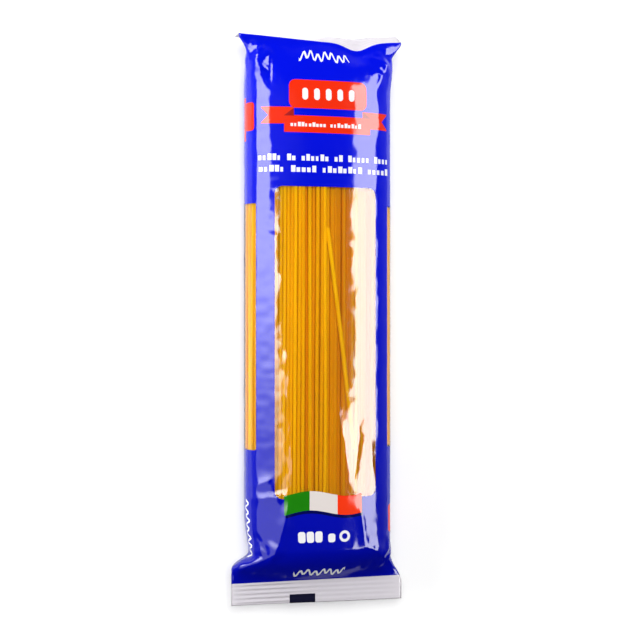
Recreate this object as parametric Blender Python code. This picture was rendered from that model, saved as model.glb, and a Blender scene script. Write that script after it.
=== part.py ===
# A pasta packet: a pillow bag of printed film, filled with long straight pasta and lying on its back.
# Metres. +Z is up through the printed front, and +Y runs towards the packet's top.

import math

import bmesh
import bpy
from mathutils import Vector

MM = 0.001

# The filled body
BODY_HALF_WIDTH = 38.8 * MM
BODY_THICKNESS = 27.6 * MM
SIDE_HEIGHT = 13.6 * MM  # where the body is widest, above the surface it lies on
FRONT_ROUNDNESS = 2.6  # exponent of the crowned front's superellipse
BACK_ROUNDNESS = 3.2  # the back is squarer, and pressed flat where it lies
BACK_PRESS = 0.9 * MM  # how far the round back would reach below the surface

# Where the body ends and the film runs on to the seals
BOTTOM_SEAL_START = -134.6 * MM
TOP_SEAL_START = 142.0 * MM
SEAL_LENGTH = 11.0 * MM
SEAL_HALF_WIDTH = 45.8 * MM
SEAL_HALF_THICKNESS = 0.45 * MM
BOTTOM_SEAL_HEIGHT = 12.8 * MM
TOP_SEAL_HEIGHT = 19.6 * MM
FRONT_SLOPE_BOTTOM = 19.0 * MM  # length over which the front comes down to each seal
FRONT_SLOPE_TOP = 30.0 * MM
BACK_SLOPE_BOTTOM = 16.0 * MM  # and over which the back comes up to it
BACK_SLOPE_TOP = 11.0 * MM
EAR_ROUNDNESS = 1.05  # the section between body and seal has thin pointed sides

# The sides draw in beyond the pasta's ends, then flare out to the seal's ears.
# An ear starts and ends at these distances above the start of the bottom seal.
LEFT_NECK_DEPTH = 2.4 * MM
RIGHT_NECK_DEPTH = 0.2 * MM
NECK_LENGTH = 22.0 * MM
LEFT_EAR = (15.5 * MM, 8.0 * MM)
RIGHT_EAR = (13.0 * MM, -3.6 * MM)
TOP_EAR_LENGTH = 7.0 * MM
TOP_EAR_HALF_WIDTH = 43.4 * MM

# The top seal is folded back, further on the left than on the right and least where its edge dips
LEFT_FOLD = math.radians(92)
RIGHT_FOLD = math.radians(62)
FOLD_CHANGE = (-14.0 * MM, 8.0 * MM)
DIP_UNFOLD = math.radians(20)
FOLD_RADIUS = 1.2 * MM
TOP_EDGE_RISE_LEFT = 2.0 * MM
TOP_EDGE_RISE_RIGHT = 2.1 * MM
TOP_EDGE_DIP = 4.2 * MM
TOP_DIP_PLACE = 19.0 * MM
TOP_DIP_SPREAD = 8.0 * MM
TOP_WARP_LENGTH = 15.0 * MM  # how far down the body the fold's uneven line is felt
BOTTOM_EDGE_DROP = 1.2 * MM  # how much further down the bottom seal's right end reaches

# The jaws press ridges across each seal
RIDGES = 5
RIDGE_HEIGHT = 0.25 * MM

# How finely the film is divided
ACROSS = 34
BODY_ROWS = 7
SLOPE_ROWS = 15
FOLD_ROWS = 3


def ease(start, end, place):
    """0 before start, 1 after end, and a smooth rise between them."""
    share = min(1.0, max(0.0, (place - start) / (end - start)))
    return share * share * (3.0 - 2.0 * share)


def mix(low, high, share):
    return low + (high - low) * share


def rise(length, place):
    """0 at the seal and 1 a length away from it, steep at first and level at the end."""
    return math.sin(math.pi / 2 * min(1.0, max(0.0, place / length)))


def bump(centre, spread, place):
    """A smooth hump, 1 at its centre."""
    return math.exp(-(((place - centre) / spread) ** 2))


def between_seals(y, body, bottom_slope, top_slope):
    """A height that is body along the packet and comes to the height of each seal."""
    height = mix(BOTTOM_SEAL_HEIGHT, body, rise(bottom_slope, y - BOTTOM_SEAL_START))
    return mix(TOP_SEAL_HEIGHT, height, rise(top_slope, TOP_SEAL_START - y))


def front_height(y):
    return between_seals(y, BODY_THICKNESS, FRONT_SLOPE_BOTTOM, FRONT_SLOPE_TOP)


def back_height(y):
    return between_seals(y, 0.0, BACK_SLOPE_BOTTOM, BACK_SLOPE_TOP)


def side_height(y):
    return between_seals(y, SIDE_HEIGHT, FRONT_SLOPE_BOTTOM, FRONT_SLOPE_TOP)


def half_width(y, left):
    """The film's reach to one side, drawn in at the neck and flared at the ear."""
    ear_start, ear_end = LEFT_EAR if left else RIGHT_EAR
    depth = LEFT_NECK_DEPTH if left else RIGHT_NECK_DEPTH
    neck = bump(BOTTOM_SEAL_START + ear_start, NECK_LENGTH / 2, y)
    body = BODY_HALF_WIDTH - depth * neck
    bottom = ease(-ear_start, -ear_end, BOTTOM_SEAL_START - y)
    top = ease(-TOP_EAR_LENGTH, 0.0, y - TOP_SEAL_START)
    return mix(mix(body, SEAL_HALF_WIDTH, bottom), TOP_EAR_HALF_WIDTH, top)


def flatness(y):
    """0 in the body and 1 at the seals."""
    bottom = ease(-BACK_SLOPE_BOTTOM, 0.0, BOTTOM_SEAL_START - y)
    top = ease(-BACK_SLOPE_TOP, 0.0, y - TOP_SEAL_START)
    return max(bottom, top)


def top_edge_shift(x):
    """How far the top fold lies above or below its mean line."""
    across = x / TOP_EAR_HALF_WIDTH
    left = TOP_EDGE_RISE_LEFT * max(0.0, -across)
    right = TOP_EDGE_RISE_RIGHT * max(0.0, across) ** 2
    return left + right - TOP_EDGE_DIP * bump(TOP_DIP_PLACE, TOP_DIP_SPREAD, x)


def bottom_edge_drop(x):
    return BOTTOM_EDGE_DROP * ease(-SEAL_HALF_WIDTH, SEAL_HALF_WIDTH, x)


def fold_angle(x):
    angle = mix(LEFT_FOLD, RIGHT_FOLD, ease(*FOLD_CHANGE, x))
    return angle - DIP_UNFOLD * bump(TOP_DIP_PLACE, TOP_DIP_SPREAD, x)


def section_height(y, u, front):
    """The film's height over or under the side line, at u from -1 to 1 across the section."""
    if front:
        reach = front_height(y) - side_height(y)
        roundness = mix(FRONT_ROUNDNESS, EAR_ROUNDNESS, flatness(y))
    else:
        reach = side_height(y) - back_height(y) + BACK_PRESS * (1.0 - flatness(y))
        roundness = mix(BACK_ROUNDNESS, EAR_ROUNDNESS, flatness(y))
    lens = reach * (1.0 - abs(u) ** roundness) ** (1.0 / roundness)
    slab = SEAL_HALF_THICKNESS * (1.0 - u**8) ** 0.5
    return lens + slab


def body_point(y, u, front):
    x = half_width(y, left=u < 0) * u
    height = section_height(y, u, front)
    z = side_height(y) + (height if front else -height)
    warp = top_edge_shift(x) * ease(-TOP_WARP_LENGTH, 0.0, y - TOP_SEAL_START)
    return Vector((x, y + warp, max(z, 0.0)))


def ridge(distance):
    """A seal's pressed ridges, as a height that repeats along it."""
    return RIDGE_HEIGHT * math.sin(RIDGES * math.tau * distance / SEAL_LENGTH)


def slab_height(u, front):
    height = SEAL_HALF_THICKNESS * (1.0 - u**8) ** 0.5
    return height if front else -height


def bottom_seal_point(distance, u, front):
    """A point of the flat seal, a distance below the start of the seal."""
    x = half_width(BOTTOM_SEAL_START - distance, left=u < 0) * u
    y = BOTTOM_SEAL_START - distance
    z = BOTTOM_SEAL_HEIGHT + slab_height(u, front) + ridge(distance) * (1.0 - u**8)
    drop = bottom_edge_drop(x) * distance / SEAL_LENGTH
    return Vector((x, y - drop, z))


def top_seal_point(distance, u, front):
    """A point of the folded seal: first round the fold, then straight on."""
    x = TOP_EAR_HALF_WIDTH * u
    angle = fold_angle(x)
    arc = FOLD_RADIUS * angle
    turned = min(distance, arc) / FOLD_RADIUS
    straight = max(0.0, distance - arc)
    along = FOLD_RADIUS * math.sin(turned) + straight * math.cos(turned)
    down = FOLD_RADIUS * (1.0 - math.cos(turned)) + straight * math.sin(turned)
    raised = slab_height(u, front) + ridge(distance) * (1.0 - u**8)
    y = TOP_SEAL_START + top_edge_shift(x) + along + raised * math.sin(turned)
    z = TOP_SEAL_HEIGHT - down + raised * math.cos(turned)
    return Vector((x, y, z))


def ring(point, place):
    """One closed section: over the front from left to right, and back under."""
    shares = [math.sin(math.pi / 2 * (2 * i / ACROSS - 1)) for i in range(ACROSS + 1)]
    front = [point(place, u, True) for u in shares]
    back = [point(place, u, False) for u in reversed(shares[1:-1])]
    return front + back


def spaced(start, end, steps):
    return [mix(start, end, i / steps) for i in range(steps)]


def all_rings():
    seal_steps = RIDGES * 4
    body_end = BOTTOM_SEAL_START + FRONT_SLOPE_BOTTOM
    body_start = TOP_SEAL_START - FRONT_SLOPE_TOP
    places = spaced(BOTTOM_SEAL_START, body_end, SLOPE_ROWS)
    places += spaced(body_end, body_start, BODY_ROWS)
    places += spaced(body_start, TOP_SEAL_START, SLOPE_ROWS + FOLD_ROWS)
    rings = [ring(bottom_seal_point, SEAL_LENGTH * (1 - i / seal_steps)) for i in range(seal_steps)]
    rings += [ring(body_point, y) for y in places]
    rings += [ring(top_seal_point, SEAL_LENGTH * i / seal_steps) for i in range(seal_steps + 1)]
    return rings


def centred(rings):
    """The same rings, with the middle of their box over the origin."""
    points = [p for section in rings for p in section]
    middle_x = (min(p.x for p in points) + max(p.x for p in points)) / 2
    middle_y = (min(p.y for p in points) + max(p.y for p in points)) / 2
    shift = Vector((middle_x, middle_y, 0.0))
    return [[p - shift for p in section] for section in rings]


def loft(mesh, rings):
    """Joins each ring to the next with faces, and closes both ends."""
    bm = bmesh.new()
    rows = [[bm.verts.new(p) for p in section] for section in rings]
    count = len(rows[0])
    for row, above in zip(rows, rows[1:]):
        for i in range(count):
            following = (i + 1) % count
            bm.faces.new((row[i], row[following], above[following], above[i]))
    bm.faces.new(rows[0])
    bm.faces.new(rows[-1])
    bmesh.ops.recalc_face_normals(bm, faces=bm.faces[:])
    bmesh.ops.triangulate(bm, faces=bm.faces[:])
    bm.to_mesh(mesh)
    bm.free()


def printed_film():
    """Blue printed polypropylene film, smooth and glossy."""
    material = bpy.data.materials.new("printed_film")
    material.use_nodes = True
    shader = material.node_tree.nodes["Principled BSDF"]
    shader.inputs["Base Color"].default_value = (0.001, 0.006, 0.72, 1.0)
    shader.inputs["Roughness"].default_value = 0.15
    shader.inputs["Metallic"].default_value = 0.0
    return material


def build_packet():
    mesh = bpy.data.meshes.new("film_packet")
    loft(mesh, centred(all_rings()))
    mesh.materials.append(printed_film())
    packet = bpy.data.objects.new("film_packet", mesh)
    collection = bpy.data.collections.new("pasta_packet")
    bpy.context.scene.collection.children.link(collection)
    collection.objects.link(packet)
    mesh.shade_smooth()
    mesh.set_sharp_from_angle(angle=math.radians(40))


for leftover in list(bpy.data.objects):
    bpy.data.objects.remove(leftover, do_unlink=True)
build_packet()
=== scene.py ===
import math

import bpy
import numpy as np
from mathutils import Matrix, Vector, noise
from mathutils.bvhtree import BVHTree


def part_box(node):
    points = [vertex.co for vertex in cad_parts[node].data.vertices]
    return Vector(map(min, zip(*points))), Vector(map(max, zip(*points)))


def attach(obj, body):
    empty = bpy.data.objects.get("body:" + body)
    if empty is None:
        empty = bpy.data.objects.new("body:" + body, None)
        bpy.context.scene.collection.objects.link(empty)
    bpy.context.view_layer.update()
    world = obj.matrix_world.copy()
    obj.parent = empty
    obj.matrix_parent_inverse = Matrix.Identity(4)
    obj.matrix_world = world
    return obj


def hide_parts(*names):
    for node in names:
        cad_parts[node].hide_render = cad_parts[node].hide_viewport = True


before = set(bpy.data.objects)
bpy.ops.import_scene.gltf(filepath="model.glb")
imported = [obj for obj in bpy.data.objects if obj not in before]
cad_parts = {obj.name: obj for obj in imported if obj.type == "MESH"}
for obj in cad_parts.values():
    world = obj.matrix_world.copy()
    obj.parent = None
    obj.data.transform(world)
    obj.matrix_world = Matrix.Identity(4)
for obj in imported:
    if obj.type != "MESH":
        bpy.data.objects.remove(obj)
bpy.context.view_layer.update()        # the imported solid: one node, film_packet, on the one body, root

mm = 0.001
packetLow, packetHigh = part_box("film_packet")


def ease(start, end, place):
    # 0 before start, 1 after end, smooth between
    share = np.clip((place - start) / (end - start), 0.0, 1.0)
    return share * share * (3.0 - 2.0 * share)


def mix(low, high, share):
    return low + (high - low) * share


def hump(centre, spread, place):
    return np.exp(-(((place - centre) / spread) ** 2))


def linear(hexColour):
    # an sRGB hex value as the linear colour that a socket takes
    parts = [int(hexColour[i:i + 2], 16) / 255 for i in (1, 3, 5)]
    return tuple(p / 12.92 if p <= 0.04045 else ((p + 0.055) / 1.055) ** 2.4 for p in parts) + (1.0,)


def addNode(tree, kind, inputs=(), **settings):
    # a node with its settings, its values and what feeds it
    node = tree.nodes.new(kind)
    for name, value in settings.items():
        setattr(node, name, value)
    for place, value in dict(inputs).items():
        if isinstance(value, bpy.types.NodeSocket):
            tree.links.new(value, node.inputs[place])
        else:
            node.inputs[place].default_value = value
    return node


def newMaterial(name):
    material = bpy.data.materials.new(name)
    material.use_nodes = True
    material.node_tree.nodes.clear()
    return material, material.node_tree


def deselectAll():
    if bpy.context.object and bpy.context.object.mode != "OBJECT":
        bpy.ops.object.mode_set(mode="OBJECT")
    bpy.ops.object.select_all(action="DESELECT")


film = {
    "columns": 216,           # round the tube, a multiple of 4
    "halfGirth": 92.0,        # mm, from the front's middle round to the back's
    "sealRows": 26,
    "rowStep": 1.0,           # mm between rows of the body
    "bodyHalfWidth": 38.6,
    "bodyThickness": 27.4,
    "sideHeight": 13.6,
    "frontRoundness": 2.6,
    "backRoundness": 3.2,
    "backPress": 0.9,
    "bottomSealStart": -134.6,
    "topSealStart": 142.0,
    "sealLength": 11.0,
    "sealHalfWidth": 45.8,
    "sealHalfThickness": 0.1,
    "bottomSealHeight": 12.8,
    "topSealHeight": 19.6,
    "frontSlopeBottom": 19.0,
    "frontSlopeTop": 30.0,
    "backSlopeBottom": 16.0,
    "backSlopeTop": 11.0,
    "earRoundness": 1.05,
    "neckDepth": (2.4, 0.2),          # left and right
    "neckLength": 22.0,
    "ear": ((15.5, 8.0), (13.0, -3.6)),   # where each starts and ends above the bottom seal
    "topEar": 7.0,
    "topEarHalfWidth": 43.4,
    "leftFold": math.radians(92),
    "rightFold": math.radians(62),
    "foldChange": (-14.0, 8.0),
    "dipUnfold": math.radians(20),
    "foldRadius": 1.2,
    "topRiseLeft": 2.0,
    "topRiseRight": 2.1,
    "topDip": 4.2,
    "topDipPlace": 19.0,
    "topDipSpread": 8.0,
    "topWarpLength": 15.0,
    "bottomDrop": 1.2,
    "ridges": 5,
    "ridgeHeight": 0.16,
    "ridgeShares": (1.5, 0.4),        # of that height, at the left end and at the right
    "lowest": 0.35,                   # mm that the back stays off the floor
    # the taut film's waves: height, length round and along in mm, and the noise's start
    "waves": (
        (0.085, (12.0, 24.0), 3.7),
        (0.055, (8.5, 3.6), 17.9),
        (0.045, (4.2, 5.2), 11.3),
    ),
    # crinkled where the front turns down to each side
    "crinkles": (
        (0.05, (4.2, 5.2), 11.3),
        (0.05, (3.2, 4.4), 31.7),
    ),
    "crinklePlace": 22.0,
    "crinkleSpread": 8.0,
    "raggedness": 1.1,                # mm that a crease wanders to each side
    "plainNearSeal": 4.0,
}


def rise(length, place):
    # 0 at the seal and 1 a length away, steep at first
    return math.sin(math.pi / 2 * min(1.0, max(0.0, place / length)))


def betweenSeals(y, body, bottomSlope, topSlope):
    height = mix(film["bottomSealHeight"], body, rise(bottomSlope, y - film["bottomSealStart"]))
    return mix(film["topSealHeight"], height, rise(topSlope, film["topSealStart"] - y))


def frontHeight(y):
    return betweenSeals(y, film["bodyThickness"], film["frontSlopeBottom"], film["frontSlopeTop"])


def backHeight(y):
    return betweenSeals(y, 0.0, film["backSlopeBottom"], film["backSlopeTop"])


def sideHeight(y):
    return betweenSeals(y, film["sideHeight"], film["frontSlopeBottom"], film["frontSlopeTop"])


def halfWidth(y, side):
    # the film's reach to the left (0) or right (1): it draws in beyond the pasta and flares out to the seal
    earStart, earEnd = film["ear"][side]
    neck = hump(film["bottomSealStart"] + earStart, film["neckLength"] / 2, y)
    body = film["bodyHalfWidth"] - film["neckDepth"][side] * neck
    bottom = ease(-earStart, -earEnd, film["bottomSealStart"] - y)
    top = ease(-film["topEar"], 0.0, y - film["topSealStart"])
    return mix(mix(body, film["sealHalfWidth"], bottom), film["topEarHalfWidth"], top)


def flatness(y):
    bottom = ease(-film["backSlopeBottom"], 0.0, film["bottomSealStart"] - y)
    top = ease(-film["backSlopeTop"], 0.0, y - film["topSealStart"])
    return max(bottom, top)


def topEdgeShift(x):
    across = x / film["topEarHalfWidth"]
    left = film["topRiseLeft"] * np.maximum(0.0, -across)
    right = film["topRiseRight"] * np.maximum(0.0, across) ** 2
    return left + right - film["topDip"] * hump(film["topDipPlace"], film["topDipSpread"], x)


def slab(u, thin):
    return film["sealHalfThickness"] * thin * np.sqrt(1.0 - u**8)


def bodySection(y, u, side):
    # side is 1 on the front and -1 on the back
    x = np.where(u < 0, halfWidth(y, 0), halfWidth(y, 1)) * u
    flat = flatness(y)
    if side > 0:
        reach = frontHeight(y) - sideHeight(y)
        roundness = mix(film["frontRoundness"], film["earRoundness"], flat)
    else:
        reach = sideHeight(y) - backHeight(y) + film["backPress"] * (1.0 - flat)
        roundness = mix(film["backRoundness"], film["earRoundness"], flat)
    height = reach * (1.0 - np.abs(u) ** roundness) ** (1.0 / roundness) + slab(u, 1.0)
    warp = topEdgeShift(x) * ease(-film["topWarpLength"], 0.0, y - film["topSealStart"])
    return np.stack([x, y + warp, np.maximum(sideHeight(y) + side * height, film["lowest"])], axis=-1)


def pressed(distance, x, u):
    # the jaws' ridges, deepest at the left end
    depth = film["ridgeHeight"] * mix(*film["ridgeShares"], ease(-24.0, 4.0, x))
    return depth * math.sin(film["ridges"] * math.tau * distance / film["sealLength"]) * (1.0 - u**8)


def bottomSealSection(distance, u, side):
    y = film["bottomSealStart"] - distance
    x = np.where(u < 0, halfWidth(y, 0), halfWidth(y, 1)) * u
    drop = film["bottomDrop"] * ease(-film["sealHalfWidth"], film["sealHalfWidth"], x)
    y = film["bottomSealStart"] - distance - drop * distance / film["sealLength"]
    thin = 0.0 if distance >= film["sealLength"] else 1.0
    z = film["bottomSealHeight"] + side * slab(u, thin) + pressed(distance, x, u)
    return np.stack([x, y, z], axis=-1)


def topSealSection(distance, u, side):
    # round the fold first, then straight on
    x = film["topEarHalfWidth"] * u
    angle = mix(film["leftFold"], film["rightFold"], ease(*film["foldChange"], x))
    angle = angle - film["dipUnfold"] * hump(film["topDipPlace"], film["topDipSpread"], x)
    turned = np.minimum(distance, film["foldRadius"] * angle) / film["foldRadius"]
    straight = np.maximum(0.0, distance - film["foldRadius"] * angle)
    along = film["foldRadius"] * np.sin(turned) + straight * np.cos(turned)
    down = film["foldRadius"] * (1.0 - np.cos(turned)) + straight * np.sin(turned)
    thin = 0.0 if distance >= film["sealLength"] else 1.0
    raised = side * slab(u, thin) + pressed(distance, x, u)
    y = film["topSealStart"] + topEdgeShift(x) + along + raised * np.sin(turned)
    return np.stack([x, y, film["topSealHeight"] - down + raised * np.cos(turned)], axis=-1)


def evenly(points, count):
    # count + 1 points spaced evenly along a line of many
    steps = np.linalg.norm(np.diff(points, axis=0), axis=1)
    far = np.concatenate([[0.0], np.cumsum(steps)])
    wanted = np.linspace(0.0, far[-1], count + 1)
    return np.stack([np.interp(wanted, far, points[:, k]) for k in range(3)], axis=-1)


def ringOf(section, place):
    # from the back's middle, up the left side, over the front and down the right
    dense = np.sin(np.linspace(0.0, math.pi / 2, 161))
    half = film["columns"] // 2
    halves = []
    for way in (-1, 1):
        front = section(place, way * dense, 1)
        back = section(place, way * dense[::-1], -1)
        halves.append(evenly(np.concatenate([front, back[1:]]), half))
    return np.concatenate([halves[0][::-1], halves[1][1:]])


def filmRows():
    # (what makes the section, its place, and its distance along the film)
    sealSteps = film["sealRows"]
    start, end, length = film["bottomSealStart"], film["topSealStart"], film["sealLength"]
    count = round((end - start) / film["rowStep"])
    rows = [(bottomSealSection, length * (1 - i / sealSteps), start - length * (1 - i / sealSteps))
            for i in range(sealSteps)]
    rows += [(bodySection, mix(start, end, i / count), mix(start, end, i / count)) for i in range(count)]
    rows += [(topSealSection, length * i / sealSteps, end + length * i / sealSteps)
             for i in range(sealSteps + 1)]
    return rows


def makeFilm():
    rows = filmRows()
    columns = film["columns"]
    points = np.array([ringOf(section, place) for section, place, _ in rows])
    along = np.array([far for _, _, far in rows])
    across = np.linspace(-film["halfGirth"], film["halfGirth"], columns + 1)
    points = relief(points, across, along)
    middle = (points.reshape(-1, 3).min(axis=0) + points.reshape(-1, 3).max(axis=0)) / 2
    points -= np.array([middle[0], middle[1], 0.0])

    deselectAll()
    bpy.ops.mesh.primitive_grid_add(x_subdivisions=columns, y_subdivisions=len(rows) - 1, size=2)
    piece = bpy.context.object
    piece.name = "filmBag"
    mesh = piece.data
    flat = np.empty(len(mesh.vertices) * 3)
    mesh.vertices.foreach_get("co", flat)
    flat = flat.reshape(-1, 3)
    column = np.rint((flat[:, 0] + 1) / 2 * columns).astype(int)
    row = np.rint((flat[:, 1] + 1) / 2 * (len(rows) - 1)).astype(int)
    mesh.vertices.foreach_set("co", (points[row, column] * mm).ravel())
    corner = np.empty(len(mesh.loops), int)
    mesh.loops.foreach_get("vertex_index", corner)
    uv = np.stack([across[column[corner]], along[row[corner]]], axis=-1) / printSpan + 0.5
    mesh.uv_layers.active.name = "printLayout"
    mesh.uv_layers.active.data.foreach_set("uv", uv.ravel())
    bpy.ops.object.mode_set(mode="EDIT")
    bpy.ops.mesh.select_all(action="SELECT")
    bpy.ops.mesh.remove_doubles(threshold=0.00002)
    bpy.ops.object.mode_set(mode="OBJECT")
    bpy.ops.object.shade_smooth()
    return piece, middle


creases = (
    # start and end as (across, along) in mm, height in mm (below 0 a valley),
    # and how wide each side falls off
    ((-36.5, -84.5), (-27.5, -79.5), 0.55, 2.2),
    ((-38.5, -90.5), (-18.0, -89.0), 0.60, 2.6),
    ((-31.0, -86.5), (-20.0, -84.5), -0.35, 2.0),
    ((-18.4, -91.5), (-25.5, -113.0), 1.30, 4.2),
    ((-25.5, -113.0), (-30.0, -122.0), 1.30, 3.6),
    ((-43.0, -128.0), (-30.0, -118.5), 0.90, 2.4),
    ((-36.0, -108.0), (-31.0, -121.0), -0.70, 2.2),
    ((18.6, -97.0), (22.5, -115.0), 0.80, 2.4),
    ((22.5, -115.0), (37.0, -124.5), 0.80, 2.2),
    ((30.0, -112.0), (40.0, -129.0), -0.60, 2.0),
    ((-19.5, -12.0), (-18.0, -50.0), 0.34, 3.4),
    ((-18.0, -50.0), (-17.0, -92.0), 0.60, 3.8),
    ((5.5, -42.0), (13.0, -78.0), 0.36, 3.2),
    ((19.5, -48.0), (15.0, -80.0), -0.42, 2.6),
    ((24.0, -60.0), (27.5, -88.0), 0.40, 2.2),
    ((-37.5, 138.0), (-33.0, 122.0), 0.90, 2.6),
    ((-30.0, 133.0), (-28.5, 120.0), -0.80, 2.2),
    ((-41.0, 133.0), (-30.0, 127.0), 0.70, 2.0),
    ((25.0, 138.5), (36.5, 131.0), 0.80, 2.4),
    ((37.0, 134.0), (28.5, 119.5), 0.90, 2.6),
    ((28.5, 119.5), (31.0, 96.0), 0.30, 2.4),
)

crumples = (
    # across and along in mm, spread, height
    (-36.0, 133.0, 9.0, 2.0),
    (35.0, 131.0, 9.0, 2.0),
    (-38.0, -118.0, 10.0, 1.7),
    (38.0, -121.0, 10.0, 1.7),
    (-34.0, -88.0, 7.0, 0.8),
)


def waves(points, sizes, start):
    # smooth noise from -1 to 1, each wave about so long round the tube and along it
    scaled = points.reshape(-1, 3) / (sizes[0], sizes[1], sizes[0]) + start
    values = [noise.noise(Vector(place)) for place in scaled]
    return np.array(values).reshape(points.shape[:2])


def farFrom(start, end, s, t):
    # distance to the line from start to end, and how far along it, 0 to 1
    line = np.array(end) - np.array(start)
    share = ((s - start[0]) * line[0] + (t - start[1]) * line[1]) / (line @ line)
    share = np.clip(share, 0.0, 1.0)
    return np.hypot(s - start[0] - share * line[0], t - start[1] - share * line[1]), share


def relief(points, across, along):
    # low waves of the taut film, and deeper creases and crumples near its corners
    outward = np.cross(np.gradient(points, axis=1), np.gradient(points, axis=0))
    outward[:, 0] += outward[:, -1]
    outward[:, -1] = outward[:, 0]
    outward /= np.maximum(np.linalg.norm(outward, axis=2, keepdims=True), 1e-9)
    s, t = np.meshgrid(across, along)
    turnDown = hump(film["crinklePlace"], film["crinkleSpread"], np.abs(s))
    lift = np.zeros(s.shape)
    for kind, share in (("waves", 1.0), ("crinkles", turnDown)):
        for height, sizes, start in film[kind]:
            lift += height * share * waves(points, sizes, start)
    ragged = film["raggedness"] * waves(points, (4.0, 7.0), 23.9)
    for place, far, spread, height in crumples:
        near = np.exp(-(((s - place) / spread) ** 2) - ((t - far) / spread) ** 2)
        folds = 0.5 - np.abs(waves(points, (8.0, 9.0), 5.1 + place))
        folds += 0.4 * (0.5 - np.abs(waves(points, (4.4, 4.8), 8.3 + place)))
        lift += height * near * folds
    for start, end, height, width in creases:
        far, share = farFrom(start, end, s + ragged, t)
        lift += height * np.exp(-far / width) * np.sin(math.pi * (0.12 + 0.76 * share))
    plain = film["plainNearSeal"]
    free = np.minimum(ease(film["bottomSealStart"], film["bottomSealStart"] + plain, t),
                      ease(-film["topSealStart"], plain - film["topSealStart"], -t))
    return points + outward * (lift * free)[:, :, None]


printSpan = 320.0  # mm, the side of the square that the print's layout lies in

filmBag, filmShift = makeFilm()
print("film bag:", len(filmBag.data.vertices), "points", [round(v * 1000, 1) for v in filmBag.dimensions])


fin = {
    "width": 10.0,           # mm
    "columns": 40,
    "rowStep": 3.0,
    "ridges": 7,
    "ridgeHeight": 0.04,
    "gap": 0.05,             # mm under the film
    "thickness": 0.08,
    "ends": (-134.0, 140.5),
}


def makeFin():
    # the two long edges of the film sealed together and laid flat to one side
    rows = round((fin["ends"][1] - fin["ends"][0]) / fin["rowStep"])
    deselectAll()
    bpy.ops.mesh.primitive_grid_add(x_subdivisions=fin["columns"], y_subdivisions=rows, size=2)
    piece = bpy.context.object
    piece.name = "finSeal"
    mesh = piece.data
    flat = np.empty(len(mesh.vertices) * 3)
    mesh.vertices.foreach_get("co", flat)
    flat = flat.reshape(-1, 3)
    across = (flat[:, 0] + 1) / 2
    along = mix(*fin["ends"], (flat[:, 1] + 1) / 2)
    film3d = BVHTree.FromObject(filmBag, bpy.context.evaluated_depsgraph_get())
    points = []
    for share, y in zip(across, along):
        x = -fin["width"] * share
        start = (Vector((x, y, 0.0)) - Vector(filmShift * (1, 1, 0))) * mm - Vector((0.0, 0.0, 0.05))
        spot, _, _, _ = film3d.ray_cast(start, Vector((0.0, 0.0, 1.0)))
        ridge = fin["ridgeHeight"] * math.sin(fin["ridges"] * math.tau * share)
        points.append(spot - Vector((0.0, 0.0, (fin["gap"] + ridge + fin["ridgeHeight"]) * mm)))
    mesh.vertices.foreach_set("co", np.array(points).ravel())
    solid = piece.modifiers.new("thickness", "SOLIDIFY")
    solid.thickness = fin["thickness"] * mm
    solid.offset = 1.0
    bpy.ops.object.modifier_apply(modifier=solid.name)
    bpy.ops.object.shade_smooth_by_angle(angle=math.radians(60))
    return piece


def finFinish():
    # the same film, two layers pressed together: plain deep blue, shiny along its ridges
    material, tree = newMaterial("pressedBlueFilm")
    shader = addNode(tree, "ShaderNodeBsdfPrincipled",
                     {"Base Color": linear("#020CB2"), "Roughness": 0.16, "IOR": 1.5})
    addNode(tree, "ShaderNodeOutputMaterial", {"Surface": shader.outputs[0]})
    return material


finSeal = makeFin()
finSeal.data.materials.append(finFinish())
print("fin seal:", len(finSeal.data.polygons), "faces")


pasta = {
    "strands": 415,
    "radius": 1.0,           # mm
    "sides": 10,
    "cuts": 18,
    "length": 256.0,
    "bottomEnd": -121.5,
    "endScatter": 1.4,
    "gapToFilm": 0.3,
    "settling": 300,         # rounds of pushing apart
    "upperFrom": 0.55,       # of the way up from the middle, where the upper strands start
    "sunkShare": 0.38,       # how many of those lie deeper than their neighbours
    "sunk": 1.3,             # mm
    # colours of the deeper strands, darker than the rest: painted shade
    "sunkShadedTones": (0.0, 0.45),
    "tones": (0.4, 1.0),     # from the darker colour to the brighter
    "slant": (8.2, 1.1, -66.0, 47.0),    # mm: across, down from the front, and its two ends
    "slantBow": (0.3, 0.0, -0.1),
    "slantLean": -14.5,
    "slantOver": (0.5, 16.0),            # the stretch across that it lies over
    "slantGirth": 1.2,       # how much wider than the rest it is pressed
    "slantShade": 0.6,      # painted shade: how much darker the strands under it are coloured
    "slantRoom": 3.4,        # mm from the front down to the strands under the slanting one
    "endsFrom": 100.0,       # mm from the middle: no strand ends nearer than this
    "bow": 0.16,             # mm, how far a strand is from straight
    "sway": 0.5,             # mm, how far the whole bundle drifts along its length
}


def roomAt(y, x, height):
    # how near this place is to the film around the pasta at y: 1 touches, less is inside
    inset = pasta["radius"] + pasta["gapToFilm"]
    flat = flatness(y)
    wide = np.where(x < 0, halfWidth(y, 0), halfWidth(y, 1)) - inset
    up = frontHeight(y) - sideHeight(y) - inset
    down = sideHeight(y) - backHeight(y) - inset - 0.2 * (1.0 - flat)
    reach = np.where(height > 0, up, down)
    roundness = np.where(height > 0, film["frontRoundness"], film["backRoundness"]) * (1.0 - flat)
    roundness = roundness + film["earRoundness"] * flat
    return (np.abs(x / wide) ** roundness + np.abs(height / reach) ** roundness) ** (1.0 / roundness)


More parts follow.
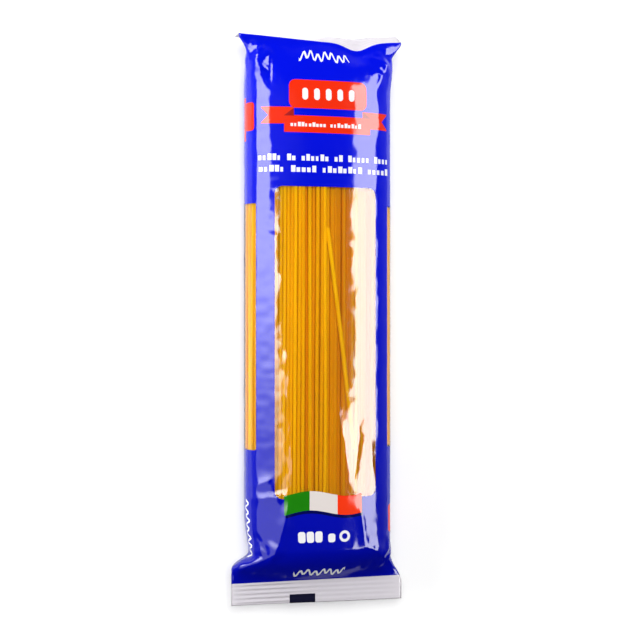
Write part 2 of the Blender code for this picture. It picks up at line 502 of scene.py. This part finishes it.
def bundlePlaces(random):
    # strand centres thrown into the body's section, then pushed apart until none overlap
    places = random.uniform(-1.0, 1.0, (pasta["strands"] * 4, 2))
    places *= (film["bodyHalfWidth"], film["bodyThickness"] / 2)
    places = places[roomAt(0.0, places[:, 0], places[:, 1]) < 1.0][:pasta["strands"]]
    for step in range(pasta["settling"]):
        gaps = places[:, None, :] - places[None, :, :]
        far = np.linalg.norm(gaps, axis=2) + np.eye(len(places)) * 99.0
        overlap = np.maximum(0.0, 2.0 * pasta["radius"] + 0.02 - far)
        places += (gaps / far[:, :, None] * overlap[:, :, None]).sum(axis=1) * 0.35
        outside = roomAt(0.0, places[:, 0], places[:, 1])
        places /= np.maximum(outside, 1.0)[:, None]
    return places


def strandModel():
    # one straight strand along Y, cut into rings so that it can bow
    deselectAll()
    bpy.ops.mesh.primitive_cylinder_add(vertices=pasta["sides"], radius=pasta["radius"] * mm,
                                        depth=pasta["length"] * mm, rotation=(math.pi / 2, 0, 0))
    strand = bpy.context.object
    bpy.ops.object.transform_apply(location=True, rotation=True, scale=True)
    bpy.ops.object.mode_set(mode="EDIT")
    bpy.ops.mesh.select_all(action="DESELECT")
    bpy.ops.mesh.select_mode(type="EDGE")
    bpy.ops.object.mode_set(mode="OBJECT")
    mesh = strand.data
    for edge in mesh.edges:
        a, b = (mesh.vertices[i].co for i in edge.vertices)
        edge.select = abs(a.y - b.y) > pasta["length"] * mm / 2
    bpy.ops.object.mode_set(mode="EDIT")
    bpy.ops.mesh.subdivide(number_cuts=pasta["cuts"])
    bpy.ops.object.mode_set(mode="OBJECT")
    bpy.ops.object.shade_smooth_by_angle(angle=math.radians(50))
    return strand


def insideReach(film3d, x, z):
    # how far a strand at this place can run each way before the film comes down on it
    reach = []
    for way in (-1, 1):
        far = 0.0
        while far < film["topSealStart"]:
            place = Vector((x, way * (far + 2.0), z)) - Vector(filmShift * (1, 1, 0))
            spot, outward, _, distance = film3d.find_nearest(place * mm)
            clear = distance / mm > pasta["radius"] + 0.05 and (place * mm - spot).dot(outward) < 0
            if far > pasta["endsFrom"] and not clear:
                break
            far += 2.0
        reach.append(way * far)
    return reach


def heldIn(film3d, points, middles):
    # each ring of a strand moved inwards where the film presses on it
    for i, middle in enumerate(middles):
        spot, outward, _, distance = film3d.find_nearest(Vector(middle) * mm)
        inward = (Vector(middle) * mm - spot).dot(outward) < 0
        over = pasta["radius"] + 0.06 - (distance / mm if inward else -distance / mm)
        if over > 0:
            points[i] -= np.array(outward) * over


def bent(model, film3d, name, place, ends, bow, toneAndShade, lean=0.0, girth=1.0):
    # a copy of the strand, laid from start to end, bowed a little and held inside the film
    x, z = place
    strand = model.copy()
    strand.data = model.data.copy()
    strand.name = name
    bpy.context.collection.objects.link(strand)
    mesh = strand.data
    points = np.empty(len(mesh.vertices) * 3)
    mesh.vertices.foreach_get("co", points)
    points = points.reshape(-1, 3) / mm
    rings = pasta["cuts"] + 2
    ring = np.rint((points[:, 1] / pasta["length"] + 0.5) * (rings - 1)).astype(int)
    share = np.arange(rings) / (rings - 1)
    y = mix(*ends, share)
    arch = np.sin(share * math.pi)
    sway = pasta["sway"] * np.sin((y + 40.0) / 75.0) * (1 - abs(x) / 45)
    middles = np.stack([x + lean * (share - 0.5) + bow[0] * arch + bow[1] * np.sin(share * math.tau) + sway,
                        y, z + bow[2] * arch], axis=-1) - filmShift * (1, 1, 0)
    moved = middles.copy()
    heldIn(film3d, moved, middles)
    points *= (girth, 0.0, 1.0)
    mesh.vertices.foreach_set("co", ((points + moved[ring]) * mm).ravel())
    # the strand's random tone, with painted shade for the deeper strands and those under the slanting one
    shade = mesh.attributes.new("strandToneAndShade", "FLOAT", "POINT")
    shade.data.foreach_set("value", np.full(len(mesh.vertices), toneAndShade))
    return strand


def makePasta():
    random = np.random.default_rng(31)
    model = strandModel()
    film3d = BVHTree.FromObject(filmBag, bpy.context.evaluated_depsgraph_get())
    strands = []
    for i, (x, height) in enumerate(bundlePlaces(random)):
        z = film["sideHeight"] + height
        start = pasta["bottomEnd"] + random.uniform(-1, 1) * pasta["endScatter"]
        end = start + pasta["length"] + random.uniform(-1, 1) * pasta["endScatter"]
        low, high = insideReach(film3d, x, z)
        upper = height > pasta["upperFrom"] * film["sideHeight"]
        sunk = random.uniform(0, 1) < pasta["sunkShare"] and upper
        # deeper strands and those under the slanting one get darker colours: painted shade on top of their
        # random tone
        toneAndShade = random.uniform(*pasta["sunkShadedTones" if sunk else "tones"])
        if sunk:
            z -= pasta["sunk"]
        if pasta["slantOver"][0] < x < pasta["slantOver"][1]:
            z = min(z, film["bodyThickness"] - pasta["slantRoom"])
            toneAndShade *= pasta["slantShade"]
        bow = random.normal(0.0, pasta["bow"], 3)
        strands.append(bent(model, film3d, f"strand{i}", (x, z), (max(start, low), min(end, high)),
                            bow, toneAndShade))
    # one short piece lies slantwise over the rest
    x, down, start, end = pasta["slant"]
    strands.append(bent(model, film3d, "slantStrand", (x, film["bodyThickness"] - down), (start, end),
                        pasta["slantBow"], 1.0, pasta["slantLean"], pasta["slantGirth"]))
    bpy.data.objects.remove(model)
    deselectAll()
    for strand in strands:
        strand.select_set(True)
    bpy.context.view_layer.objects.active = strands[0]
    bpy.ops.object.join()
    piece = bpy.context.object
    piece.name = "spaghetti"
    return piece


spaghetti = makePasta()
print("spaghetti:", len(spaghetti.data.polygons), "faces")


def pastaFinish():
    # dry durum semolina, extruded through bronze: deep yellow, dull, with a fine drag along each strand
    material, tree = newMaterial("drySemolinaPasta")
    place = addNode(tree, "ShaderNodeTexCoord").outputs["Object"]
    # each strand's colour from its random tone, darker for the deeper strands as painted shade
    toneAndShade = addNode(tree, "ShaderNodeAttribute", attribute_name="strandToneAndShade").outputs["Fac"]
    amber = addNode(tree, "ShaderNodeMix", {0: toneAndShade, 6: linear("#DA8002"), 7: linear("#FFD208")},
                    data_type="RGBA").outputs[2]
    stretched = addNode(tree, "ShaderNodeMapping", {"Vector": place, "Scale": (700.0, 14.0, 700.0)})
    drag = addNode(tree, "ShaderNodeTexNoise", {"Vector": stretched.outputs[0], "Scale": 1.0, "Detail": 3.0})
    streak = addNode(tree, "ShaderNodeMapRange", {0: drag.outputs["Fac"], 1: 0.45, 2: 0.75, 4: 0.4})
    colour = addNode(tree, "ShaderNodeMix", {0: streak.outputs[0], 6: amber, 7: linear("#CC7402")},
                     data_type="RGBA").outputs[2]
    shader = addNode(tree, "ShaderNodeBsdfPrincipled",
                     {"Base Color": colour, "Roughness": 0.6, "Specular IOR Level": 0.08})
    addNode(tree, "ShaderNodeOutputMaterial", {"Surface": shader.outputs[0]})
    return material


spaghetti.data.materials.clear()
spaghetti.data.materials.append(pastaFinish())


layout = {
    # print layout in mm: across from the front's middle, and along from the packet's middle
    "frontWindow": ((0.7, -11.3), (27.1, 79.0), 4.0),   # centre, half size, corner radius
    "sideWindow": ((-46.0, -3.4), (9.9, 62.4), 0.8),
    "plaque": ((1.6, 114.5), (20.8, 7.3), 3.4),
    "ribbon": ((1.4, 99.2), (23.1, 4.3), 0.3),
    "ribbonTails": (((-25.0, 103.4), (8.4, 4.3)), ((27.6, 102.2), (7.6, 4.3))),
    "foldCorners": (((-19.2, 105.2), (2.6, 2.0), 1), ((22.6, 104.9), (2.2, 1.6), -1)),
    "sidePlaque": ((-40.6, 103.0), (3.4, 7.2), 1.6),
    "sideRibbon": ((-45.8, 102.0), (1.9, 11.0), 0.2),
    "grains": ((-10.8, -4.6, 1.6, 7.8, 14.0), 114.5, (1.5, 3.0), 1.5),   # across, along, half size, radius
    # lines of blocks: left end, place along, blocks in each group, pitch and height
    "wordBars": (
        (-18.4, 99.0, (10, 9), 1.9, 2.2),
        (-35.0, 82.3, (5, 2, 6, 2, 5, 4), 2.48, 3.3),
        (-34.6, 76.5, (5, 5, 8, 5), 2.75, 3.3),
    ),
    "weightBlocks": (
        ((-12.9, -110.0), (1.95, 2.8), 1.3),
        ((-8.3, -110.0), (1.95, 2.8), 1.3),
        ((-3.7, -110.0), (1.95, 2.8), 1.3),
        ((3.2, -110.8), (1.9, 2.2), 1.3),
    ),
    "weightRing": ((10.2, -110.2), 2.9, 1.5),
    # hand-drawn waves: centre, half size, loops and swing
    "frontSquiggles": (((-0.4, -129.6), (14.0, 2.6), 7.0, 1.2), ((0.6, 134.6), (14.0, 3.4), 7.0, 1.7)),
    "sideSquiggle": ((-106.0, -42.5), (15.0, 3.0), 7.0, 1.3),
    "band": ((-1.1, -93.0), (20.6, 4.9), 0.2),
    "bandShade": ((-0.6, -94.6), (20.6, 4.9), 0.8),
    "bandWave": (40.6, 2.9, 1.5),          # length, phase and height
    "bandSteps": (-8.5, 6.3),              # where green ends and red starts
    "sealMark": ((-8.3, -143.6), (6.9, 2.4), 0.1),
    "bottomPrintEnd": -134.4,
    "topPrintEnd": 143.1,
    "sealClearness": (0.5, 0.3),           # bottom and top
}

inks = {
    # the blue ink's two ends: darker at the bottom as painted shade, where less light falls
    "shadedBlueBottom": "#020892",
    "litBlueTop": "#010ECC",
    "shade": "#02064A",
    "red": "#DC2A0C",
    "foldShade": "#8E1C1C",
    "bandWhite": "#D4CCC8",
    "bandGreen": "#1A760B",
    "bandRed": "#E63410",
    "white": "#E2E2E4",
    "seal": "#EAE4EC",
    "mark": "#14142A",
}


def roundedBox(tree, place, centre, half, radius):
    # 1 inside a rounded box of the print, 0 outside
    moved = addNode(tree, "ShaderNodeVectorMath", {0: place, 1: (*centre, 0.0)}, operation="SUBTRACT")
    folded = addNode(tree, "ShaderNodeVectorMath", {0: moved.outputs[0]}, operation="ABSOLUTE")
    reach = (half[0] - radius, half[1] - radius, 0.0)
    past = addNode(tree, "ShaderNodeVectorMath", {0: folded.outputs[0], 1: reach}, operation="SUBTRACT")
    outer = addNode(tree, "ShaderNodeVectorMath", {0: past.outputs[0], 1: (0.0, 0.0, 0.0)},
                    operation="MAXIMUM")
    far = addNode(tree, "ShaderNodeVectorMath", {0: outer.outputs[0]}, operation="LENGTH")
    return addNode(tree, "ShaderNodeMath", {0: far.outputs["Value"], 1: radius},
                   operation="LESS_THAN").outputs[0]


def anyOf(tree, masks):
    found = masks[0]
    for mask in masks[1:]:
        found = addNode(tree, "ShaderNodeMath", {0: found, 1: mask}, operation="MAXIMUM").outputs[0]
    return found


def swallowTail(tree, place, centre, half, way):
    # a ribbon's end with a notch cut in its outer side, which faces way
    body = roundedBox(tree, place, centre, half, 0.1)
    tip = (centre[0] + way * half[0], centre[1], 0.0)
    moved = addNode(tree, "ShaderNodeVectorMath", {0: place, 1: tip}, operation="SUBTRACT")
    parts = addNode(tree, "ShaderNodeSeparateXYZ", {0: moved.outputs[0]})
    depth = addNode(tree, "ShaderNodeMath", {0: parts.outputs[0], 1: float(way), 2: 3.6},
                    operation="MULTIPLY_ADD")
    height = addNode(tree, "ShaderNodeMath", {0: parts.outputs[1]}, operation="ABSOLUTE")
    notch = addNode(tree, "ShaderNodeMath", {0: height.outputs[0], 1: depth.outputs[0]},
                    operation="GREATER_THAN")
    return addNode(tree, "ShaderNodeMath", {0: body, 1: notch.outputs[0]}, operation="MULTIPLY").outputs[0]


def wordBars(tree, place, left, middle, words, pitch, height):
    # a line of plain blocks, some tall and some low, in word-like groups, where small print would be
    masks = []
    start = left
    for count in words:
        half = (count * pitch / 2 - 0.2, height / 2)
        masks.append(roundedBox(tree, place, (start + half[0], middle), half, 0.2))
        start += (count + 1) * pitch
    whole = anyOf(tree, masks)
    parts = addNode(tree, "ShaderNodeSeparateXYZ", {0: place})
    cell = addNode(tree, "ShaderNodeMath", {0: parts.outputs[0], 1: -left}, operation="ADD")
    cell = addNode(tree, "ShaderNodeMath", {0: cell.outputs[0], 1: 1 / pitch}, operation="MULTIPLY")
    share = addNode(tree, "ShaderNodeMath", {0: cell.outputs[0]}, operation="FRACT").outputs[0]
    number = addNode(tree, "ShaderNodeMath", {0: cell.outputs[0]}, operation="FLOOR").outputs[0]
    chance = addNode(tree, "ShaderNodeTexWhiteNoise", {"W": number}, noise_dimensions="1D").outputs["Value"]
    tall = addNode(tree, "ShaderNodeMath", {0: chance, 1: 0.68}, operation="GREATER_THAN").outputs[0]
    top = addNode(tree, "ShaderNodeMath", {0: tall, 1: height * 0.3, 2: middle + height * 0.2},
                  operation="MULTIPLY_ADD").outputs[0]
    under = addNode(tree, "ShaderNodeMath", {0: parts.outputs[1], 1: top}, operation="LESS_THAN").outputs[0]
    wide = addNode(tree, "ShaderNodeMath", {0: chance, 1: 0.35, 2: 0.5},
                   operation="MULTIPLY_ADD").outputs[0]
    block = addNode(tree, "ShaderNodeMath", {0: share, 1: wide}, operation="LESS_THAN").outputs[0]
    shown = addNode(tree, "ShaderNodeMath", {0: under, 1: block}, operation="MULTIPLY").outputs[0]
    return addNode(tree, "ShaderNodeMath", {0: whole, 1: shown}, operation="MULTIPLY").outputs[0]


def ringMark(tree, place, centre, outer, inner):
    disc = roundedBox(tree, place, centre, (outer, outer), outer)
    hole = roundedBox(tree, place, centre, (inner, inner), inner)
    return addNode(tree, "ShaderNodeMath", {0: disc, 1: hole}, operation="SUBTRACT").outputs[0]


def foldCorner(tree, place, centre, half, way):
    # the turned-under corner of a ribbon: the lower half of a box, cut from corner to corner
    box = roundedBox(tree, place, centre, half, 0.1)
    moved = addNode(tree, "ShaderNodeVectorMath", {0: place, 1: (*centre, 0.0)}, operation="SUBTRACT")
    parts = addNode(tree, "ShaderNodeSeparateXYZ", {0: moved.outputs[0]})
    slant = addNode(tree, "ShaderNodeMath", {0: parts.outputs[0], 1: way * half[1] / half[0]},
                    operation="MULTIPLY").outputs[0]
    under = addNode(tree, "ShaderNodeMath", {0: parts.outputs[1], 1: slant},
                    operation="LESS_THAN").outputs[0]
    return addNode(tree, "ShaderNodeMath", {0: box, 1: under}, operation="MULTIPLY").outputs[0]


def squiggle(tree, place, centre, half, loops, swing):
    # a hand-drawn looking wave inside a box
    box = roundedBox(tree, place, centre, half, 0.1)
    parts = addNode(tree, "ShaderNodeSeparateXYZ", {0: place})
    turn = loops * math.tau / (2 * half[0])
    fast = addNode(tree, "ShaderNodeMath", {0: parts.outputs[0], 1: turn}, operation="MULTIPLY").outputs[0]
    slow = addNode(tree, "ShaderNodeMath", {0: parts.outputs[0], 1: turn * 0.37},
                   operation="MULTIPLY").outputs[0]
    fast = addNode(tree, "ShaderNodeMath", {0: fast}, operation="SINE").outputs[0]
    slow = addNode(tree, "ShaderNodeMath", {0: slow}, operation="SINE").outputs[0]
    both = addNode(tree, "ShaderNodeMath", {0: slow, 1: 0.5, 2: fast}, operation="MULTIPLY_ADD").outputs[0]
    line = addNode(tree, "ShaderNodeMath", {0: both, 1: swing, 2: centre[1]},
                   operation="MULTIPLY_ADD").outputs[0]
    off = addNode(tree, "ShaderNodeMath", {0: parts.outputs[1], 1: line}, operation="SUBTRACT").outputs[0]
    far = addNode(tree, "ShaderNodeMath", {0: off}, operation="ABSOLUTE").outputs[0]
    steep = addNode(tree, "ShaderNodeMath", {0: parts.outputs[0], 1: turn}, operation="MULTIPLY").outputs[0]
    steep = addNode(tree, "ShaderNodeMath", {0: steep}, operation="COSINE").outputs[0]
    steep = addNode(tree, "ShaderNodeMath", {0: steep, 1: swing * turn}, operation="MULTIPLY").outputs[0]
    steep = addNode(tree, "ShaderNodeMath", {0: steep}, operation="ABSOLUTE").outputs[0]
    reach = addNode(tree, "ShaderNodeMath", {0: steep, 1: 0.34, 2: 0.42},
                    operation="MULTIPLY_ADD").outputs[0]
    stroke = addNode(tree, "ShaderNodeMath", {0: far, 1: reach}, operation="LESS_THAN").outputs[0]
    return addNode(tree, "ShaderNodeMath", {0: box, 1: stroke}, operation="MULTIPLY").outputs[0]


def filmFinish():
    # biaxially oriented polypropylene, printed inside and glossy outside: the colour is even, and the clear
    # windows reflect from both their faces, so a lamp shows twice as bright in them as over the print
    material, tree = newMaterial("printedPolypropyleneFilm")
    uv = addNode(tree, "ShaderNodeUVMap", uv_map="printLayout").outputs[0]
    place = addNode(tree, "ShaderNodeVectorMath",
                    {0: uv, 1: (printSpan, printSpan, 0.0), 2: (-printSpan / 2, -printSpan / 2, 0.0)},
                    operation="MULTIPLY_ADD").outputs[0]
    parts = addNode(tree, "ShaderNodeSeparateXYZ", {0: place})
    across, along = parts.outputs[0], parts.outputs[1]
    # the right side panel carries the left one's print, turned half round
    side = addNode(tree, "ShaderNodeMath", {0: across}, operation="SIGN").outputs[0]
    outward = addNode(tree, "ShaderNodeMath", {0: across}, operation="ABSOLUTE").outputs[0]
    inward = addNode(tree, "ShaderNodeMath", {0: outward, 1: -1.0}, operation="MULTIPLY").outputs[0]
    turned = addNode(tree, "ShaderNodeMath", {0: along, 1: side}, operation="MULTIPLY").outputs[0]
    turned = addNode(tree, "ShaderNodeMath", {0: turned, 1: -1.0}, operation="MULTIPLY").outputs[0]
    sidePlace = addNode(tree, "ShaderNodeCombineXYZ", {0: inward, 1: turned}).outputs[0]
    mirrored = addNode(tree, "ShaderNodeCombineXYZ", {0: inward, 1: along}).outputs[0]
    upright = addNode(tree, "ShaderNodeCombineXYZ", {0: turned, 1: inward}).outputs[0]

    # where the film is clear
    front = roundedBox(tree, place, *layout["frontWindow"])
    sides = roundedBox(tree, mirrored, *layout["sideWindow"])
    window = anyOf(tree, [front, sides])
    low = addNode(tree, "ShaderNodeMath", {0: along, 1: layout["bottomPrintEnd"]},
                  operation="LESS_THAN").outputs[0]
    high = addNode(tree, "ShaderNodeMath", {0: along, 1: layout["topPrintEnd"]},
                   operation="GREATER_THAN").outputs[0]
    seal = anyOf(tree, [low, high])

    # the print's fields
    plaque = roundedBox(tree, place, *layout["plaque"])
    ribbon = roundedBox(tree, place, *layout["ribbon"])
    leftTail = swallowTail(tree, place, *layout["ribbonTails"][0], -1)
    rightTail = swallowTail(tree, place, *layout["ribbonTails"][1], 1)
    sidePlaque = roundedBox(tree, sidePlace, *layout["sidePlaque"])
    sideRibbon = roundedBox(tree, sidePlace, *layout["sideRibbon"])
    red = anyOf(tree, [plaque, ribbon, leftTail, rightTail, sidePlaque, sideRibbon])
    spots, level, half, radius = layout["grains"]
    white = anyOf(tree, [
        *(roundedBox(tree, place, (x, level), half, radius) for x in spots),
        *(wordBars(tree, place, *line) for line in layout["wordBars"]),
        *(roundedBox(tree, place, *block) for block in layout["weightBlocks"]),
        ringMark(tree, place, *layout["weightRing"]),
        *(squiggle(tree, place, *line) for line in layout["frontSquiggles"]),
        squiggle(tree, upright, *layout["sideSquiggle"]),
    ])

    # the waving band of three colours below the window
    length, phase, height = layout["bandWave"]
    turn = addNode(tree, "ShaderNodeMath", {0: across, 1: math.tau / length, 2: phase},
                   operation="MULTIPLY_ADD").outputs[0]
    wave = addNode(tree, "ShaderNodeMath", {0: turn}, operation="SINE").outputs[0]
    lifted = addNode(tree, "ShaderNodeMath", {0: wave, 1: -height, 2: along},
                     operation="MULTIPLY_ADD").outputs[0]
    bandPlace = addNode(tree, "ShaderNodeCombineXYZ", {0: across, 1: lifted}).outputs[0]
    band = roundedBox(tree, bandPlace, *layout["band"])
    bandShade = roundedBox(tree, bandPlace, *layout["bandShade"])
    greenEnd, redStart = layout["bandSteps"]
    greenPart = addNode(tree, "ShaderNodeMath", {0: across, 1: greenEnd}, operation="LESS_THAN").outputs[0]
    redPart = addNode(tree, "ShaderNodeMath", {0: across, 1: redStart}, operation="GREATER_THAN").outputs[0]

    # painted shade: the blue ink darkened towards the bottom, where less light falls
    depth = addNode(tree, "ShaderNodeMapRange", {0: along, 1: -150.0, 2: 120.0}).outputs[0]
    shadedBlues = {0: depth, 6: linear(inks["shadedBlueBottom"]), 7: linear(inks["litBlueTop"])}
    colour = addNode(tree, "ShaderNodeMix", shadedBlues, data_type="RGBA").outputs[2]
    foldShades = anyOf(tree, [foldCorner(tree, place, *corner) for corner in layout["foldCorners"]])
    greenPart = addNode(tree, "ShaderNodeMath", {0: band, 1: greenPart}, operation="MULTIPLY").outputs[0]
    redPart = addNode(tree, "ShaderNodeMath", {0: band, 1: redPart}, operation="MULTIPLY").outputs[0]
    mark = roundedBox(tree, place, *layout["sealMark"])
    stacked = (
        (bandShade, "shade"),
        (red, "red"),
        (foldShades, "foldShade"),
        (band, "bandWhite"),
        (white, "white"),
        (greenPart, "bandGreen"),
        (redPart, "bandRed"),
        (seal, "seal"),
        (mark, "mark"),
    )
    for mask, ink in stacked:
        layers = {0: mask, 6: colour, 7: linear(inks[ink])}
        colour = addNode(tree, "ShaderNodeMix", layers, data_type="RGBA").outputs[2]

    # how much the film hides
    notBand = addNode(tree, "ShaderNodeMath", {0: 1.0, 1: band}, operation="SUBTRACT").outputs[0]
    bareWindow = addNode(tree, "ShaderNodeMath", {0: window, 1: notBand}, operation="MULTIPLY").outputs[0]
    notMark = addNode(tree, "ShaderNodeMath", {0: 1.0, 1: mark}, operation="SUBTRACT").outputs[0]
    hazy = addNode(tree, "ShaderNodeMath", {0: seal, 1: notMark}, operation="MULTIPLY").outputs[0]
    bottom, top = layout["sealClearness"]
    haze = addNode(tree, "ShaderNodeMath", {0: high, 1: top - bottom, 2: bottom},
                   operation="MULTIPLY_ADD").outputs[0]
    hazy = addNode(tree, "ShaderNodeMath", {0: hazy, 1: haze}, operation="MULTIPLY").outputs[0]
    clear = addNode(tree, "ShaderNodeMath", {0: bareWindow, 1: hazy}, operation="MAXIMUM").outputs[0]

    ink = addNode(tree, "ShaderNodeBsdfPrincipled", {"Base Color": colour, "Roughness": 0.09, "IOR": 1.58})
    through = addNode(tree, "ShaderNodeBsdfTransparent", {0: (1.0, 1.0, 1.0, 1.0)})
    gloss = addNode(tree, "ShaderNodeBsdfGlossy", {"Color": (1.0, 1.0, 1.0, 1.0), "Roughness": 0.09})
    fresnel = addNode(tree, "ShaderNodeFresnel", {"IOR": 1.85}).outputs[0]
    bare = addNode(tree, "ShaderNodeMixShader", {0: fresnel, 1: through.outputs[0], 2: gloss.outputs[0]})
    surface = addNode(tree, "ShaderNodeMixShader", {0: clear, 1: ink.outputs[0], 2: bare.outputs[0]})
    addNode(tree, "ShaderNodeOutputMaterial", {"Surface": surface.outputs[0]})
    return material


filmBag.data.materials.clear()
filmBag.data.materials.append(filmFinish())
print("finishes: printed film, pressed film and pasta")


for piece, slotName in ((filmBag, "film"), (finSeal, "film"), (spaghetti, "pasta")):
    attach(piece, "root")
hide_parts("film_packet")


studio = {
    "floorSize": 6.0,
    "turn": math.radians(16),     # the packet is seen from a little to its left
    "middleHeight": 0.014,
    "distance": 0.693,            # from the middle of its thickness
    "lens": 75.3,
    "aimAcross": 0.83,            # mm, from the film's middle
    # lamps: place and size in metres, and power in watts
    "lamps": {
        "overheadFill": ((-0.25, 0.3, 1.2), (0.7, 0.7), 12.0),
        "leftFill": ((-1.0, 0.1, 0.3), (0.8, 0.5), 10.5),
        "rightFill": ((1.0, 0.1, 0.3), (0.8, 0.5), 6.5),
        "topFill": ((0.1, 1.1, 0.4), (0.8, 0.5), 4.5),
    },
    # mirrored panels: degrees past the vertical, reach, lower and upper end, and (place, strength) twice
    "softboxes": {
        "upperLeftSoftbox": ((-23.0, -58.0), 1.0, 0.13, 1.2, ((0.1, 7.6), (0.3, 9.2))),
        "lowerLeftSoftbox": ((-11.5, -60.0), 1.0, -0.75, 0.13, ((-0.2, 1.4), (0.13, 8.5))),
        "rightStrip": ((27.0, 52.0), 1.0, -0.6, 0.62, ((-0.5, 8.6), (-0.4, 8.6))),
    },
}


def makeFloor():
    deselectAll()
    bpy.ops.mesh.primitive_plane_add(size=studio["floorSize"])
    floor = bpy.context.object
    floor.name = "floor"
    material, tree = newMaterial("whitePaperSweep")
    paper = addNode(tree, "ShaderNodeBsdfDiffuse", {"Color": linear("#E6E6E6")})
    lift = addNode(tree, "ShaderNodeEmission", {"Color": (1.0, 1.0, 1.0, 1.0), "Strength": 0.2})
    both = addNode(tree, "ShaderNodeAddShader", {0: paper.outputs[0], 1: lift.outputs[0]})
    path = addNode(tree, "ShaderNodeLightPath")
    surface = addNode(tree, "ShaderNodeMixShader", {0: path.outputs["Is Camera Ray"], 1: paper.outputs[0],
                                                    2: both.outputs[0]})
    addNode(tree, "ShaderNodeOutputMaterial", {"Surface": surface.outputs[0]})
    floor.data.materials.append(material)


def makeWorld():
    # a pale room for the camera, and a dim one for what the film mirrors
    world = bpy.data.worlds.new("studio")
    bpy.context.scene.world = world
    world.use_nodes = True
    tree = world.node_tree
    tree.nodes.clear()
    path = addNode(tree, "ShaderNodeLightPath")
    sky = addNode(tree, "ShaderNodeTexCoord").outputs["Generated"]
    way = addNode(tree, "ShaderNodeSeparateXYZ", {0: sky})
    fromHorizon = {0: way.outputs[2], 1: 0.05, 2: 0.6, 3: 0.32, 4: 0.015}
    mirrored = addNode(tree, "ShaderNodeMapRange", fromHorizon).outputs[0]
    darkBelow = {0: way.outputs[1], 1: -0.6, 2: -0.2, 3: 0.05, 4: 1.0}
    front = addNode(tree, "ShaderNodeMapRange", darkBelow).outputs[0]
    mirrored = addNode(tree, "ShaderNodeMath", {0: mirrored, 1: front}, operation="MULTIPLY").outputs[0]
    lighting = addNode(tree, "ShaderNodeMix",
                       {0: path.outputs["Is Glossy Ray"], 2: 0.15, 3: mirrored}).outputs[0]
    strength = addNode(tree, "ShaderNodeMapRange",
                       {0: path.outputs["Is Camera Ray"], 3: lighting, 4: 1.0}).outputs[0]
    room = addNode(tree, "ShaderNodeBackground", {"Color": (1.0, 1.0, 1.0, 1.0), "Strength": strength})
    addNode(tree, "ShaderNodeOutputWorld", {"Surface": room.outputs[0]})


def addLamp(name, spot, size, power):
    # light for the colours only: the film doesn't mirror it
    lamp = bpy.data.lights.new(name, "AREA")
    lamp.shape = "RECTANGLE"
    lamp.size, lamp.size_y = size
    lamp.energy = power
    holder = bpy.data.objects.new(name, lamp)
    bpy.context.collection.objects.link(holder)
    holder.location = spot
    holder.rotation_euler = (-Vector(spot)).to_track_quat("-Z", "Y").to_euler()
    holder.visible_camera = False
    holder.visible_glossy = False


def addSoftbox(name, angles, reach, bottom, top, strengths):
    # a lit panel that the film mirrors, from one angle past the vertical to the other, brighter upwards
    first, last = (math.radians(angle) for angle in angles)
    deselectAll()
    bpy.ops.mesh.primitive_plane_add(size=2)
    panel = bpy.context.object
    panel.name = name
    corners = [Vector((math.sin(angle) * reach, y, math.cos(angle) * reach))
               for angle in (first, last) for y in (bottom, top)]
    for vertex, (right, up) in zip(panel.data.vertices, ((0, 0), (1, 0), (0, 1), (1, 1))):
        vertex.co = corners[2 * right + up]
    material, tree = newMaterial(name + "Cloth")
    place = addNode(tree, "ShaderNodeTexCoord").outputs["Object"]
    parts = addNode(tree, "ShaderNodeSeparateXYZ", {0: place})
    (low, lowGlow), (high, highGlow) = strengths
    strength = addNode(tree, "ShaderNodeMapRange",
                       {0: parts.outputs[1], 1: low, 2: high, 3: lowGlow, 4: highGlow},
                       interpolation_type="SMOOTHSTEP").outputs[0]
    # it is there for the film's mirror image only, so it throws no bright patches on the floor
    path = addNode(tree, "ShaderNodeLightPath")
    direct = addNode(tree, "ShaderNodeMath", {0: path.outputs["Diffuse Depth"], 1: 0.5},
                     operation="LESS_THAN")
    strength = addNode(tree, "ShaderNodeMath", {0: strength, 1: direct.outputs[0]},
                       operation="MULTIPLY").outputs[0]
    glow = addNode(tree, "ShaderNodeEmission", {"Color": (1.0, 0.985, 0.97, 1.0), "Strength": strength})
    addNode(tree, "ShaderNodeOutputMaterial", {"Surface": glow.outputs[0]})
    panel.data.materials.append(material)
    panel.visible_camera = False
    panel.visible_diffuse = False
    panel.visible_shadow = False


def addFlag():
    # a black card below the packet, so that the slope down to the bottom seal mirrors no bright floor
    deselectAll()
    bpy.ops.mesh.primitive_plane_add(size=2)
    card = bpy.context.object
    card.name = "blackFlag"
    near, far = packetLow.y - 0.006, packetLow.y - 0.4
    corners = ((-0.5, near, 0.001), (0.5, near, 0.001), (-0.5, far, 0.25), (0.5, far, 0.25))
    for vertex, corner in zip(card.data.vertices, corners):
        vertex.co = corner
    material, tree = newMaterial("blackVelvet")
    cloth = addNode(tree, "ShaderNodeBsdfDiffuse", {"Color": (0.004, 0.004, 0.004, 1.0)})
    addNode(tree, "ShaderNodeOutputMaterial", {"Surface": cloth.outputs[0]})
    card.data.materials.append(material)
    card.visible_camera = False
    card.visible_diffuse = False
    card.visible_shadow = False
    card.visible_transmission = False


def makeCamera():
    camera = bpy.data.cameras.new("camera")
    camera.lens = studio["lens"]
    holder = bpy.data.objects.new("camera", camera)
    bpy.context.collection.objects.link(holder)
    middle = Vector(((studio["aimAcross"] - filmShift[0]) * mm, -filmShift[1] * mm, studio["middleHeight"]))
    away = Vector((-math.sin(studio["turn"]), 0.0, math.cos(studio["turn"])))
    holder.location = middle + away * studio["distance"]
    holder.rotation_euler = (0.0, -studio["turn"], 0.0)
    bpy.context.scene.camera = holder


makeFloor()
makeWorld()
for name, lamp in studio["lamps"].items():
    addLamp(name, *lamp)
for name, panel in studio["softboxes"].items():
    addSoftbox(name, *panel)
addFlag()
makeCamera()
bpy.context.scene.view_settings.view_transform = "Standard"

print("studio: floor, lamps, panels and camera")
